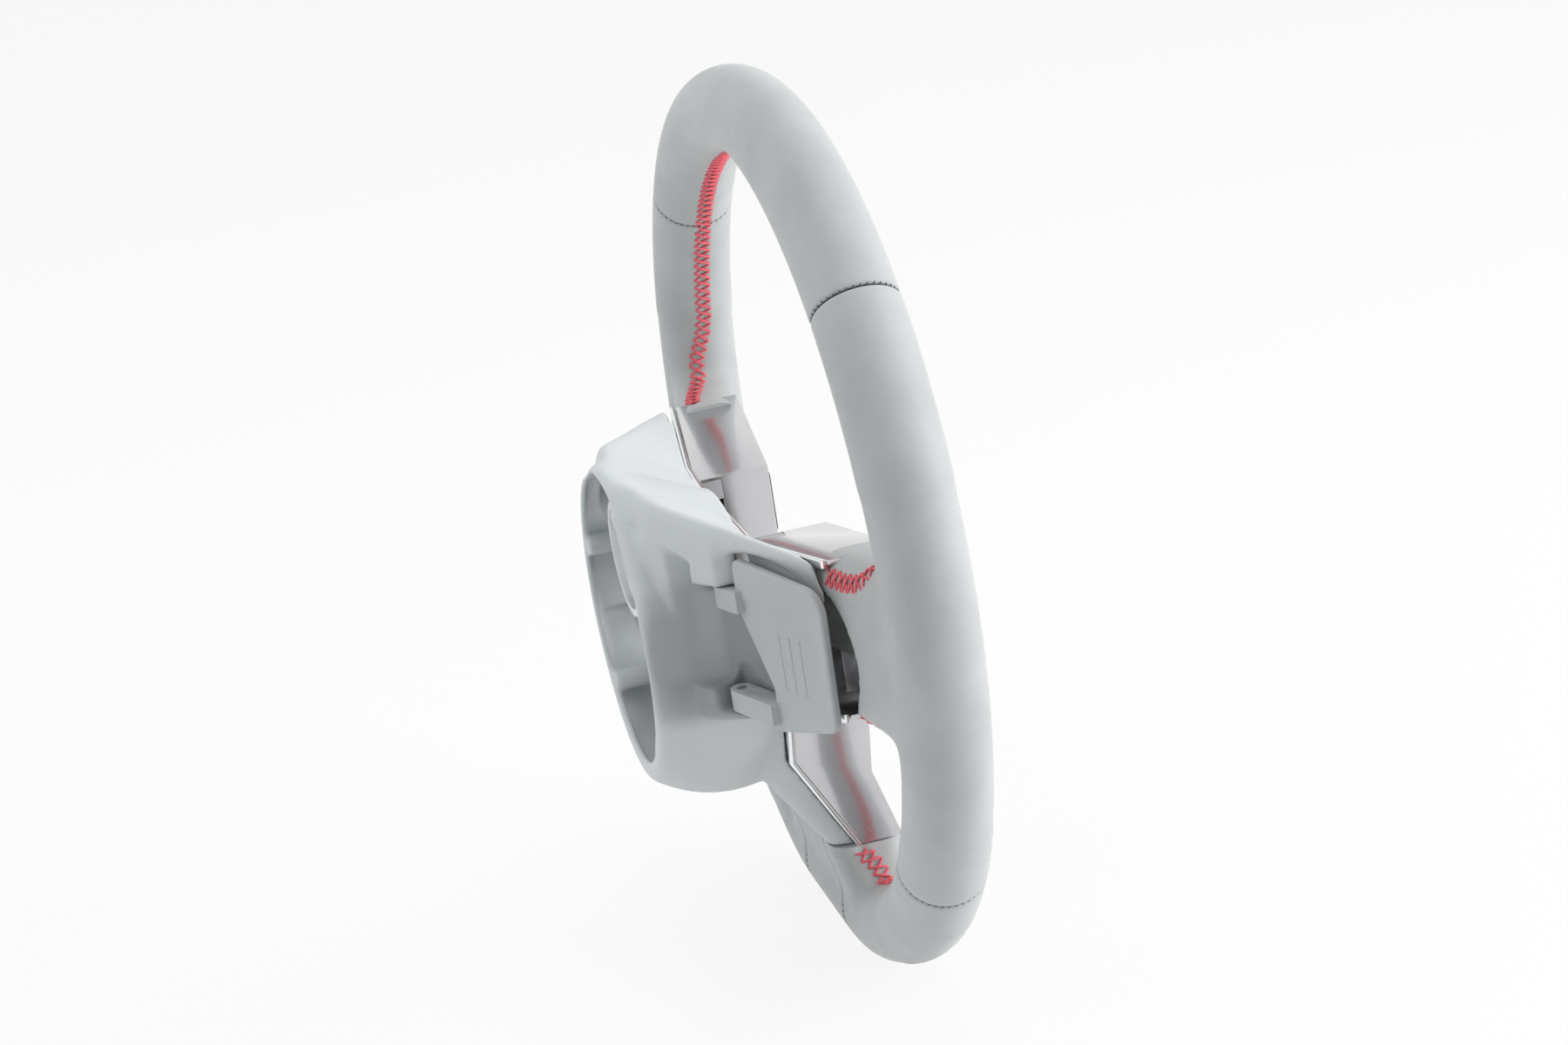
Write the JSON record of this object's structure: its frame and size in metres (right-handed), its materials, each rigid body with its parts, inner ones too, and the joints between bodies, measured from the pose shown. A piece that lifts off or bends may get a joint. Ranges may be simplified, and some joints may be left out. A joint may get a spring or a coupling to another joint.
{
  "type": "steering wheel",
  "caption": "Leather-wrapped car steering wheel with flattened bottom, spoke switches and hinged shift paddles on its moulded rear cover; column bore at the hub, airbag recess open.",
  "frame": {"origin": "on the column axis at the rear mouth of the column bore", "axes": "+Y back along the column, +Z to the top of the wheel, +X to the driver's right"},
  "size_m": [0.372, 0.102, 0.367],
  "materials": {
    "grip_leather": "fine-grained wheel leather, cool grey",
    "foam": "moulded polyurethane foam",
    "casting": "as-cast magnesium",
    "steel": "plain steel",
    "cover_plastic": "fine-textured moulded plastic",
    "paddle_plastic": "satin moulded plastic",
    "bright_trim": "bright plated",
    "gloss_trim": "silver lacquer on plastic",
    "dark_plastic": "dark plastic",
    "key_plastic": "dark satin keys",
    "circuit_board": "green circuit board",
    "cable": "black cable",
    "plug_plastic": "yellow plug"
  },
  "bodies": {
    "wheel": {"armature": "casting", "column_insert": "steel", "cover_screws": "steel", "front_bezel": "gloss_trim", "harness_connector": "plug_plastic", "leather_bottom": "grip_leather", "leather_left": "grip_leather", "leather_lower_left": "grip_leather", "leather_lower_right": "grip_leather", "leather_right": "grip_leather", "leather_top": "grip_leather", "left_paddle_spring": "steel", "left_paddle_switch": "dark_plastic", "left_switch_board": "circuit_board", "left_switch_housing": "dark_plastic", "lower_left_trim_strip": "bright_trim", "lower_right_trim_strip": "bright_trim", "rear_cover": "cover_plastic", "right_paddle_spring": "steel", "right_paddle_switch": "dark_plastic", "right_switch_board": "circuit_board", "right_switch_housing": "dark_plastic", "rim_foam": "foam", "upper_trim_strip": "bright_trim", "wiring_harness": "cable"},
    "left_paddle": {"left_paddle": "paddle_plastic", "left_paddle_pins": "steel"},
    "left_rocker": {"left_rocker": "key_plastic"},
    "left_upper_key": {"left_upper_key": "key_plastic"},
    "left_lower_key": {"left_lower_key": "key_plastic"},
    "right_paddle": {"right_paddle": "paddle_plastic", "right_paddle_pins": "steel"},
    "right_rocker": {"right_rocker": "key_plastic"},
    "right_upper_key": {"right_upper_key": "key_plastic"},
    "right_lower_key": {"right_lower_key": "key_plastic"}
  },
  "joints": [
    {"name": "left_paddle_pull", "type": "hinge", "parent": "wheel", "child": "left_paddle", "pos_m": [-0.07335, -0.02318, -0.015], "axis": [0, 0, 1], "range_deg": [0, 4], "stiffness_Nm_per_rad": 1.2, "springref_deg": -3.44, "deforming": ["left_paddle_spring"]},
    {"name": "left_rocker_tilt", "type": "hinge", "parent": "wheel", "child": "left_rocker", "pos_m": [-0.07227, -0.07382, -0.012], "axis": [-0.9946, -0.1033, 0], "range_deg": [-3, 3], "stiffness_Nm_per_rad": 0.4},
    {"name": "left_upper_key_press", "type": "slide", "parent": "wheel", "child": "left_upper_key", "axis": [-0.1033, 0.9946, 0], "range_m": [0, 0.0014], "stiffness_N_per_m": 1500},
    {"name": "left_lower_key_press", "type": "slide", "parent": "wheel", "child": "left_lower_key", "axis": [-0.1033, 0.9946, 0], "range_m": [0, 0.0014], "stiffness_N_per_m": 1500},
    {"name": "right_paddle_pull", "type": "hinge", "parent": "wheel", "child": "right_paddle", "pos_m": [0.07335, -0.02318, -0.015], "axis": [0, 0, -1], "range_deg": [0, 4], "stiffness_Nm_per_rad": 1.2, "springref_deg": -3.44, "deforming": ["right_paddle_spring"]},
    {"name": "right_rocker_tilt", "type": "hinge", "parent": "wheel", "child": "right_rocker", "pos_m": [0.07227, -0.07382, -0.012], "axis": [0.9946, -0.1033, 0], "range_deg": [-3, 3], "stiffness_Nm_per_rad": 0.4},
    {"name": "right_upper_key_press", "type": "slide", "parent": "wheel", "child": "right_upper_key", "axis": [0.1033, 0.9946, 0], "range_m": [0, 0.0014], "stiffness_N_per_m": 1500},
    {"name": "right_lower_key_press", "type": "slide", "parent": "wheel", "child": "right_lower_key", "axis": [0.1033, 0.9946, 0], "range_m": [0, 0.0014], "stiffness_N_per_m": 1500}
  ]
}
